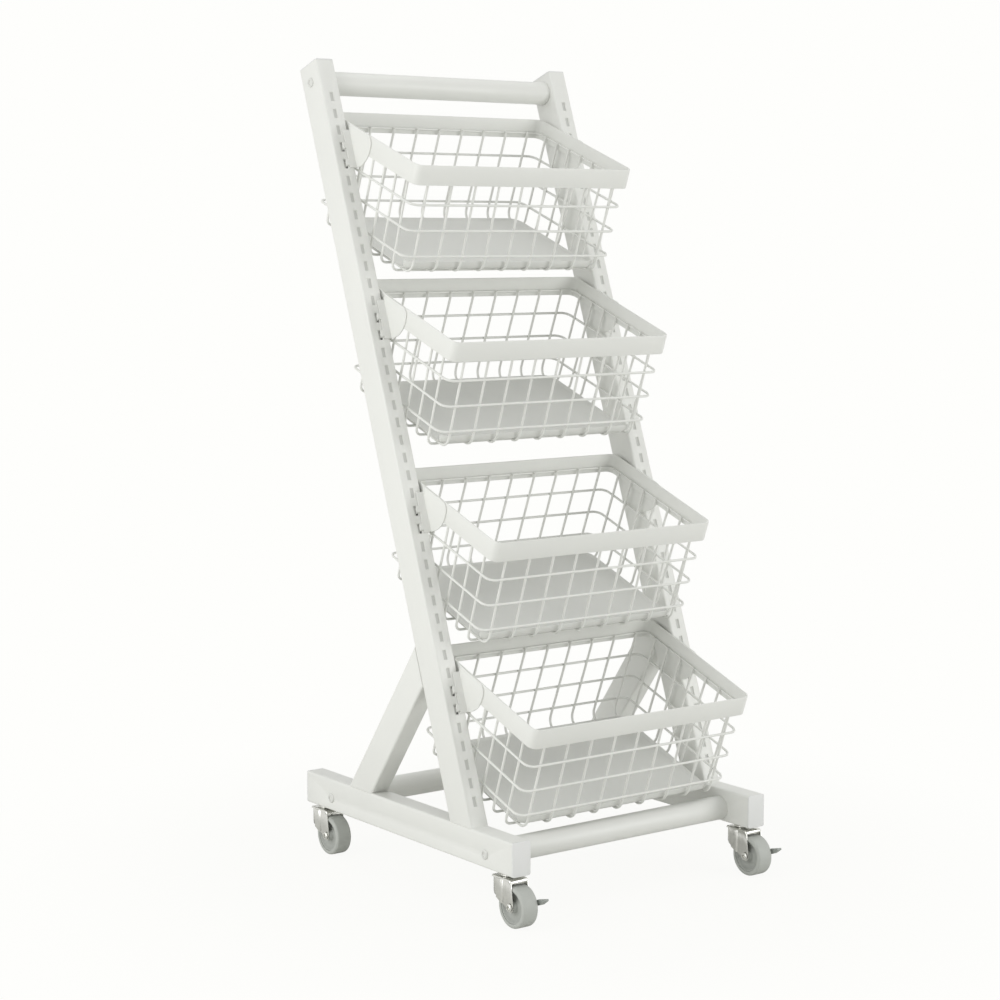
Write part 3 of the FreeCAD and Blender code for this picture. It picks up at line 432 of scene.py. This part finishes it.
# Hidden fittings: the threaded plugs in the ends of the bars, which the bolts go into, and the nuts
# on the caster stems inside the feet. Plain turned steel, left bare.
STEEL_GREY = "#9A9B9A"
STEEL_GREY_LOW = "#7F8080"
STEEL_ROUGHNESS = 0.4
STEEL_MARK_MM = 2
MARK_DETAIL = 3
POLISH_SPREAD = 0.08


def metal(name, colour, low_colour, roughness, mark_mm):
    """Bare or plated metal, a little uneven in tone and polish."""
    material = bpy.data.materials.new(name)
    material.use_nodes = True
    tree = material.node_tree
    shader = tree.nodes["Principled BSDF"]
    shader.inputs["Metallic"].default_value = 1
    place = add_node(tree, "ShaderNodeTexCoord")
    marks = add_node(tree, "ShaderNodeTexNoise",
                     links={"Vector": place.outputs["Object"], "Scale": 1 / (mark_mm * MM),
                            "Detail": MARK_DETAIL})
    tone = add_node(tree, "ShaderNodeMix", data_type="RGBA",
                    links={0: marks.outputs["Fac"], MIX_FIRST: linear(colour),
                           MIX_SECOND: linear(low_colour)})
    polish = add_node(tree, "ShaderNodeMapRange",
                      links={"Value": marks.outputs["Fac"], "To Min": roughness - POLISH_SPREAD,
                             "To Max": roughness + POLISH_SPREAD})
    tree.links.new(tone.outputs[MIX_RESULT], shader.inputs["Base Color"])
    tree.links.new(polish.outputs[0], shader.inputs["Roughness"])
    return material


# Bare steel: mid grey with a dull sheen.
plain_steel = metal("plain_turned_steel", STEEL_GREY, STEEL_GREY_LOW, STEEL_ROUGHNESS, STEEL_MARK_MM)
for node in ("bar_end_plugs", "caster_nuts"):
    frame["nodes"][node].data.materials.clear()
    frame["nodes"][node].data.materials.append(plain_steel)

# Caster stems: turned steel, bright zinc plated. The collar bears on the foot and holds the balls
# that the fork turns on; the lower end is riveted over under the fork's crown.
ZINC = "#E0E0DC"
ZINC_LOW = "#CACAC5"
ZINC_ROUGHNESS = 0.2
ZINC_MARK_MM = 4
CORNERS = ("front_left", "front_right", "rear_left", "rear_right")
STEM_EDGE_MM = 0.25
STEM_OUTLINE_MM = ((60.5, 0), (60.5, 7.6), (61.6, 9), (62.9, 9), (62.9, 5), (66.15, 5), (66.15, 10.6),
                   (66.7, 11.4), (68.3, 11.4), (68.9, 10.7), (70, 10.5), (70, 5), (88, 5), (88, 0))


def stem_seat(corner):
    """The floor point under a caster's stem."""
    low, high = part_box(f"{corner}_caster_stem")
    return Matrix.Translation(((low[0] + high[0]) / 2, (low[1] + high[1]) / 2, 0))


# Bright zinc: a pale, slightly smeared mirror, which shows the floor and the white surround.
zinc = metal("bright_zinc", ZINC, ZINC_LOW, ZINC_ROUGHNESS, ZINC_MARK_MM)
stem = turned("stem", STEM_OUTLINE_MM, "Z", STEM_EDGE_MM, zinc)
for corner in CORNERS:
    put(stem, f"{corner}_stem", stem_seat(corner), "frame", f"{corner}_caster_stem")
bpy.data.objects.remove(stem)

# Caster forks: one pressed and folded blank of zinc plated sheet. Each cheek is turned in at the rear,
# has a raised rib down its middle that stiffens it, and ends in an eye for the axle.
CHEEK_X_MM = 13.6
CHEEK_THICK_MM = 1.2
CHEEK_TOP_MM = 63.6
CHEEK_REAR_MM = 17
CHEEK_KNEE_MM = 43.3
REAR_TURN_MM = 2.4
RIB_MM = 1.9
# Each fold's place from the stem, and how far out it stands.
CHEEK_FOLDS_MM = ((12, 0), (8, 0), (6, RIB_MM), (-4, RIB_MM), (-6, 0))
EYE_LOW_MM = (-22, 21.5)
CHEEK_FRONT_MM = (EYE_LOW_MM, (-25.5, 22.4), (-28.1, 25), (-29, 28.5), (-24.5, 61.3),
                  (-22.2, CHEEK_TOP_MM))
CHEEK_EDGE_MM = 0.35
CROWN_WIDE_MM = 30
CROWN_ROUND_MM = 2.4
CROWN_ROUND_ABOVE_MM = 63.4
CROWN_ROUND_BEFORE_MM = -23
CROWN_EDGE_MM = 0.4
CROWN_OUTLINE_MM = ((17, 65.8), (17, 63.3), (-20.6, 63.3), (-21.8, 62.5), (-22.2, 60.6), (-24.6, 60.6),
                    (-24.3, 63.2), (-23, 65), (-20.6, 65.8))


def outlined(name, corners_mm):
    """A flat face with the given corners."""
    bpy.ops.object.select_all(action="DESELECT")
    bpy.ops.mesh.primitive_circle_add(vertices=len(corners_mm), fill_type="NGON")
    piece = bpy.context.object
    piece.name = name
    for vertex, corner in zip(piece.data.vertices, corners_mm):
        vertex.co = Vector(corner) * MM
    return piece


def cheek_under(y):
    """Height of a cheek's sloping lower edge, from the knee at the rear down to the eye."""
    share = (CHEEK_REAR_MM - y) / (CHEEK_REAR_MM - EYE_LOW_MM[0])
    return CHEEK_KNEE_MM + share * (EYE_LOW_MM[1] - CHEEK_KNEE_MM)


cheek_outline = [(-REAR_TURN_MM, CHEEK_REAR_MM, z) for z in (CHEEK_TOP_MM, CHEEK_KNEE_MM)]
cheek_outline += [(out, y, cheek_under(y)) for y, out in CHEEK_FOLDS_MM]
cheek_outline += [(0, y, z) for y, z in CHEEK_FRONT_MM]
cheek_outline += [(out, y, CHEEK_TOP_MM) for y, out in reversed(CHEEK_FOLDS_MM)]
cheeks = []
for side in (-1, 1):
    cheek = outlined("cheek", [(side * (CHEEK_X_MM + out), y, z) for out, y, z in cheek_outline])
    for fold_y, _ in CHEEK_FOLDS_MM:
        pick(cheek, "VERT", lambda c: at(c.y, fold_y))
        bpy.ops.mesh.vert_connect()
    bpy.ops.object.mode_set(mode="OBJECT")
    sheet = cheek.modifiers.new("sheet", "SOLIDIFY")
    sheet.thickness = CHEEK_THICK_MM * MM
    sheet.offset = 0
    bpy.ops.object.modifier_apply(modifier=sheet.name)
    cheeks.append(finished(cheek, CHEEK_EDGE_MM, zinc))
crown = outlined("crown", [(-CROWN_WIDE_MM / 2, y, z) for y, z in CROWN_OUTLINE_MM])
pick(crown, "FACE", lambda c: True)
bpy.ops.mesh.extrude_region_move(TRANSFORM_OT_translate={"value": (CROWN_WIDE_MM * MM, 0, 0)})
bpy.ops.mesh.select_all(action="SELECT")
bpy.ops.mesh.normals_make_consistent(inside=False)
for x in (-CROWN_WIDE_MM / 2, CROWN_WIDE_MM / 2):
    pick(crown, "EDGE", lambda c: at(c.x, x) and (c.z > CROWN_ROUND_ABOVE_MM
                                                  or c.y < CROWN_ROUND_BEFORE_MM))
    bpy.ops.mesh.bevel(offset=CROWN_ROUND_MM * MM, segments=ROUND_STEPS)
finished(crown, CROWN_EDGE_MM, zinc)
bpy.ops.object.select_all(action="DESELECT")
for part in cheeks + [crown]:
    part.select_set(True)
bpy.context.view_layer.objects.active = crown
bpy.ops.object.join()
for corner in CORNERS:
    put(crown, f"{corner}_fork", stem_seat(corner), f"{corner}_fork", f"{corner}_caster_fork")
bpy.data.objects.remove(crown)

# Axles: tubular rivets of zinc plated steel, spread over outside the cheeks. The front ones are
# longer, to hold the brake lever too.
HEAD_SEAT_MM = 15.1        # from the middle of the wheel
RIVET_NEAR_MM = ((-15.4, 0), (-15.4, 2.2), (-17.2, 2.6), (-17.5, 3.3), (-17.2, 4.5), (-16.3, 5.3),
                 (-HEAD_SEAT_MM, 5.5), (-HEAD_SEAT_MM, 4))
AXLE_END_MM = {"front": 18.15, "rear": HEAD_SEAT_MM}


def axle_seat(corner):
    """The middle of a caster's wheel."""
    low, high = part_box(f"{corner}_wheel_tyre")
    return Matrix.Translation([(a + b) / 2 for a, b in zip(low, high)])


for corner in CORNERS:
    end = AXLE_END_MM[corner.split("_")[0]]
    far_head = [(end - HEAD_SEAT_MM - along, radius) for along, radius in reversed(RIVET_NEAR_MM)]
    axle = turned("axle", list(RIVET_NEAR_MM) + far_head, "X", 0, zinc)
    put(axle, f"{corner}_axle", axle_seat(corner), f"{corner}_fork", f"{corner}_caster_axle")
    bpy.data.objects.remove(axle)

# Wheels: a hard grey plastic hub with a dished face, and a softer grey tread moulded round it
# with rounded shoulders.
HUB_GREY = "#B0B3AE"
HUB_GREY_LOW = "#A9ACA7"
TYRE_GREY = "#BBBEB9"
TYRE_GREY_LOW = "#B5B8B3"
HUB_ROUGHNESS = 0.5
TYRE_ROUGHNESS = 0.6
MOULD_GRAIN_MM = 1.2
HUB_SIDE_MM = ((12.4, 4.05), (12.4, 7.2), (6.6, 8.2), (5.4, 12), (5.8, 16), (8, 19), (10.8, 20.6),
               (11, 22.5))
HUB_EDGE_MM = 0.4
SHOULDER_MM = 3.5
SHOULDER_STEPS = 6
WHEEL_RADIUS_MM = 28.5
WHEEL_HALF_MM = 12.5
TYRE_INSIDE_MM = 22.55
TYRE_LIP_MM = 0.7


def both_sides(side_mm):
    """A wheel's half outline: one side of it, then that side's mirror image."""
    return list(side_mm) + [(-along, radius) for along, radius in reversed(side_mm)]


# Moulded plastic and rubber: a fine matt grain, the tread duller and a shade lighter than the hub.
hub_plastic = skin("hub_plastic", HUB_GREY, HUB_GREY_LOW, HUB_ROUGHNESS, MOULD_GRAIN_MM)
tyre_rubber = skin("tyre_rubber", TYRE_GREY, TYRE_GREY_LOW, TYRE_ROUGHNESS, MOULD_GRAIN_MM)
hub = turned("hub", both_sides(HUB_SIDE_MM), "X", HUB_EDGE_MM, hub_plastic)
tyre_side = [(WHEEL_HALF_MM - TYRE_LIP_MM, TYRE_INSIDE_MM),
             (WHEEL_HALF_MM, TYRE_INSIDE_MM + TYRE_LIP_MM)]
for step in range(SHOULDER_STEPS + 1):
    turn = math.pi / 2 * step / SHOULDER_STEPS
    tyre_side.append((WHEEL_HALF_MM - SHOULDER_MM + SHOULDER_MM * math.cos(turn),
                      WHEEL_RADIUS_MM - SHOULDER_MM + SHOULDER_MM * math.sin(turn)))
tyre = turned("tyre", both_sides(tyre_side), "X", 0, tyre_rubber)
for corner in CORNERS:
    put(hub, f"{corner}_hub", axle_seat(corner), f"{corner}_wheel", f"{corner}_wheel_hub")
    put(tyre, f"{corner}_tyre", axle_seat(corner), f"{corner}_wheel", f"{corner}_wheel_tyre")
bpy.data.objects.remove(hub)
bpy.data.objects.remove(tyre)

# Brake levers: folded steel in flat grey paint, with a tongue for the foot. Each turns on the far
# end of a front axle, outside the fork.
PEDAL_GREY = "#9CA19C"
PEDAL_GREY_LOW = "#929792"
PEDAL_ROUGHNESS = 0.45
PEDAL_EDGE_MM = 0.9
pedal_paint = skin("pedal_paint", PEDAL_GREY, PEDAL_GREY_LOW, PEDAL_ROUGHNESS, MOULD_GRAIN_MM)
for corner in ("front_left", "front_right"):
    softened(f"{corner}_brake_pedal", f"{corner}_lever", PEDAL_EDGE_MM, pedal_paint,
             f"{corner}_pedal")

# Basket rims: a band of sheet steel bent round the basket's top and butt welded, in the white coat.
# Measured in the basket's own frame: X across, Y to the rear, Z up from the rim's rear top edge.
RIM_HALF_MM = 191.5
RIM_WIDE_MM = 234.5
RIM_HIGH_MM = 29
RIM_SHEET_MM = 2
RIM_CORNER_MM = 12
RIM_EDGE_MM = 0.7
BEND_STEPS = 6
BASKETS = ("basket_1", "basket_2", "basket_3", "basket_4")


def basket_seat(basket):
    """The basket's own frame: at the rim's rear top edge, tipped forward as its tray floor is."""
    axis = next(m["axis"] for m in frame["record"]["mounts"] if m["name"] == f"{basket}_tray_floor")
    tilt = math.atan2(-axis[1], axis[2])
    low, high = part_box(f"{basket}_rim")
    place = Matrix.Translation((0, high[1] - RIM_HIGH_MM * MM * math.sin(tilt), high[2]))
    return place @ Matrix.Rotation(tilt, 4, "X")


# The baskets are coated with the same powder as the frame.
basket_coat = skin("basket_powder_coat", FRAME_WHITE, FRAME_WHITE_LOW, COAT_ROUGHNESS, COAT_PEEL_MM)
rim = outlined("rim", [(-RIM_HALF_MM, 0, 0), (-RIM_HALF_MM, -RIM_WIDE_MM, 0),
                       (RIM_HALF_MM, -RIM_WIDE_MM, 0), (RIM_HALF_MM, 0, 0)])
pick(rim, "VERT", lambda c: True)
bpy.ops.mesh.bevel(offset=RIM_CORNER_MM * MM, segments=BEND_STEPS, affect="VERTICES")
bpy.ops.mesh.select_all(action="SELECT")
bpy.ops.mesh.delete(type="ONLY_FACE")
bpy.ops.mesh.select_all(action="SELECT")
bpy.ops.mesh.extrude_edges_move(TRANSFORM_OT_translate={"value": (0, 0, -RIM_HIGH_MM * MM)})
bpy.ops.mesh.select_all(action="SELECT")
bpy.ops.mesh.normals_make_consistent(inside=False)
bpy.ops.object.mode_set(mode="OBJECT")
band = rim.modifiers.new("sheet", "SOLIDIFY")
band.thickness = RIM_SHEET_MM * MM
band.offset = -1
bpy.ops.object.modifier_apply(modifier=band.name)
finished(rim, RIM_EDGE_MM, basket_coat)
for basket in BASKETS:
    put(rim, f"{basket}_band", basket_seat(basket), basket, f"{basket}_rim")
bpy.data.objects.remove(rim)

# Basket wires: drawn steel wire, bent to shape and spot welded where it crosses, in the same coat.
# A ring inside the rim, three hoops round the walls, and two sets of U-shaped wires within them.
WIRE_MM = 3.6
WIRE_ROUND_STEPS = 3
RING_MM = 3.2
RING_DEEP_MM = 20.6
RING_INSET_MM = 3.65
RING_CORNER_MM = 8.35
WIRE_INSET_MM = 6.8
WIRE_TOP_MM = 18
WIRE_DEEP_MM = 160
WIRE_STEP_MM = 3.05        # between the axes of crossing wires, which sink into each other at the weld
SIDE_TAPER_MM = 3.5
END_FLARE_MM = 4
HOOPS_DEEP_MM = (58, 95.7, 133.4)
HOOP_CORNER_MM = 12
LONG_REACH_MM = 164
LONG_COUNT = 9
LONG_BEND_MM = 15
CROSS_FROM_MM = 26.8
CROSS_TO_MM = 207.7
CROSS_COUNT = 7
CROSS_BEND_MM = 10


def wall(deep):
    """Half width, rear place and front place of the wires' axes at a depth below the rim's top."""
    share = (deep - RING_DEEP_MM) / (WIRE_DEEP_MM - RING_DEEP_MM)
    flare = END_FLARE_MM * share
    return (RIM_HALF_MM - WIRE_INSET_MM - SIDE_TAPER_MM * share, flare - WIRE_INSET_MM,
            WIRE_INSET_MM - flare - RIM_WIDE_MM)


def bent_wire(corners_mm, bend_mm, thick_mm, closed):
    """A round wire through four corners, bent to a radius at each of them, or at the lower two."""
    wire = outlined("wire", corners_mm)
    pick(wire, "FACE", lambda c: True)
    bpy.ops.mesh.delete(type="ONLY_FACE")
    if not closed:
        pick(wire, "EDGE", lambda c: c.z > -WIRE_DEEP_MM / 2)
        bpy.ops.mesh.delete(type="EDGE")
    run = Vector(corners_mm[2]) - Vector(corners_mm[1])
    half_angle = run.angle(Vector(corners_mm[0]) - Vector(corners_mm[1])) / 2
    pick(wire, "VERT", lambda c: closed or c.z < -WIRE_DEEP_MM / 2)
    bpy.ops.mesh.bevel(offset=bend_mm * MM / math.tan(half_angle), segments=BEND_STEPS,
                       affect="VERTICES")
    bpy.ops.object.mode_set(mode="OBJECT")
    bpy.ops.object.convert(target="CURVE")
    wire = bpy.context.object
    wire.data.bevel_depth = thick_mm / 2 * MM
    wire.data.bevel_resolution = WIRE_ROUND_STEPS
    wire.data.use_fill_caps = True
    bpy.ops.object.convert(target="MESH")
    return bpy.context.object


def welded(wires):
    """Joins wires into one piece, coated as one."""
    bpy.ops.object.select_all(action="DESELECT")
    for wire in wires:
        wire.select_set(True)
    bpy.context.view_layer.objects.active = wires[0]
    bpy.ops.object.join()
    return finished(wires[0], 0, basket_coat)


hoops = []
levels = [(RING_DEEP_MM, RIM_HALF_MM - RING_INSET_MM, -RING_INSET_MM, RING_INSET_MM - RIM_WIDE_MM,
           RING_CORNER_MM, RING_MM)]
for deep in HOOPS_DEEP_MM:
    half, rear, front = wall(deep)
    levels.append((deep, half + WIRE_STEP_MM, rear + WIRE_STEP_MM, front - WIRE_STEP_MM,
                   HOOP_CORNER_MM, WIRE_MM))
for deep, half, rear, front, bend, thick in levels:
    hoops.append(bent_wire([(half, rear, -deep), (-half, rear, -deep), (-half, front, -deep),
                            (half, front, -deep)], bend, thick, True))
long_wires = []
top_half, top_rear, top_front = wall(WIRE_TOP_MM)
low_rear, low_front = wall(WIRE_DEEP_MM)[1:]
for k in range(LONG_COUNT):
    x = LONG_REACH_MM * (2 * k / (LONG_COUNT - 1) - 1)
    long_wires.append(bent_wire([(x, top_front, -WIRE_TOP_MM), (x, low_front, -WIRE_DEEP_MM),
                                 (x, low_rear, -WIRE_DEEP_MM), (x, top_rear, -WIRE_TOP_MM)],
                                LONG_BEND_MM, WIRE_MM, False))
cross_wires = []
cross_deep = WIRE_DEEP_MM + WIRE_STEP_MM
cross_half = wall(cross_deep)[0]
for k in range(CROSS_COUNT):
    y = -CROSS_FROM_MM - (CROSS_TO_MM - CROSS_FROM_MM) * k / (CROSS_COUNT - 1)
    cross_wires.append(bent_wire([(-top_half, y, -WIRE_TOP_MM), (-cross_half, y, -cross_deep),
                                  (cross_half, y, -cross_deep), (top_half, y, -WIRE_TOP_MM)],
                                 CROSS_BEND_MM, WIRE_MM, False))
for name, wires in (("hoops", hoops), ("long_wires", long_wires), ("cross_wires", cross_wires)):
    cage = welded(wires)
    for basket in BASKETS:
        put(cage, f"{basket}_{name}_set", basket_seat(basket), basket, f"{basket}_{name}")
    bpy.data.objects.remove(cage)

# Basket trays: a loose pan of thin sheet, pressed with an upturned lip along the front and low curled
# edges elsewhere, in a white matt coat, drawn pale grey as painted shade from the basket round it.
# It lies on the long wires.
# the pan's grey is painted shade: its coat is white like the frame's
TRAY_SHADE_GREY = "#DEDFDB"
TRAY_SHADE_GREY_LOW = "#D8D9D5"
TRAY_ROUGHNESS = 0.55
TRAY_HALF_MM = 173.7
TRAY_REAR_MM = 14.3
TRAY_FRONT_MM = 226.2
TRAY_UNDER_MM = 158.2
TRAY_LIP_MM = 14
TRAY_EDGE_MM = 4
TRAY_SHEET_MM = 1.2
TRAY_CORNER_MM = 20
TRAY_BEND_MM = 9.5
TRAY_CUT_EDGE_MM = 0.35
# the pan's coat, with the basket's shade painted into its grey
tray_shade_coat = skin("tray_coat_painted_shade", TRAY_SHADE_GREY, TRAY_SHADE_GREY_LOW, TRAY_ROUGHNESS, COAT_PEEL_MM)
bpy.ops.object.select_all(action="DESELECT")
bpy.ops.mesh.primitive_cube_add(size=1)
tray = bpy.context.object
for vertex in tray.data.vertices:
    place = (TRAY_HALF_MM if vertex.co.x > 0 else -TRAY_HALF_MM,
             -TRAY_REAR_MM if vertex.co.y > 0 else -TRAY_FRONT_MM,
             TRAY_LIP_MM - TRAY_UNDER_MM if vertex.co.z > 0 else -TRAY_UNDER_MM)
    vertex.co = Vector(place) * MM
for x in (-TRAY_HALF_MM, TRAY_HALF_MM):
    for y in (-TRAY_REAR_MM, -TRAY_FRONT_MM):
        pick(tray, "EDGE", lambda c: at(c.x, x) and at(c.y, y))
        bpy.ops.mesh.bevel(offset=TRAY_CORNER_MM * MM, segments=BEND_STEPS)
pick(tray, "EDGE", lambda c: at(c.z, -TRAY_UNDER_MM))
bpy.ops.mesh.bevel(offset=TRAY_BEND_MM * MM, segments=ROUND_STEPS)
pick(tray, "FACE", lambda c: at(c.z, TRAY_LIP_MM - TRAY_UNDER_MM))
bpy.ops.mesh.delete(type="FACE")
bpy.ops.object.mode_set(mode="OBJECT")
pan = tray.modifiers.new("sheet", "SOLIDIFY")
pan.thickness = TRAY_SHEET_MM * MM
pan.offset = -1
bpy.ops.object.modifier_apply(modifier=pan.name)
# A block wider than the pan takes all its edges down but the front lip.
over_pan = (2 * TRAY_FRONT_MM, 2 * TRAY_FRONT_MM, 2 * TRAY_LIP_MM)
cut_away(tray, [((0, TRAY_BEND_MM, TRAY_EDGE_MM - TRAY_UNDER_MM + TRAY_LIP_MM), over_pan)])
finished(tray, TRAY_CUT_EDGE_MM, tray_shade_coat)
for basket in BASKETS:
    put(tray, f"{basket}_pan", basket_seat(basket), basket, f"{basket}_tray")
bpy.data.objects.remove(tray)

# Basket brackets: cut and folded sheet steel in the basket's coat, welded to the rim's sides. A flange
# lies before each upright, and two hooks go into its slots.
BRACKET_EDGE_MM = 0.5
for basket in BASKETS:
    softened(f"{basket}_brackets", f"{basket}_hooks", BRACKET_EDGE_MM, basket_coat, basket)
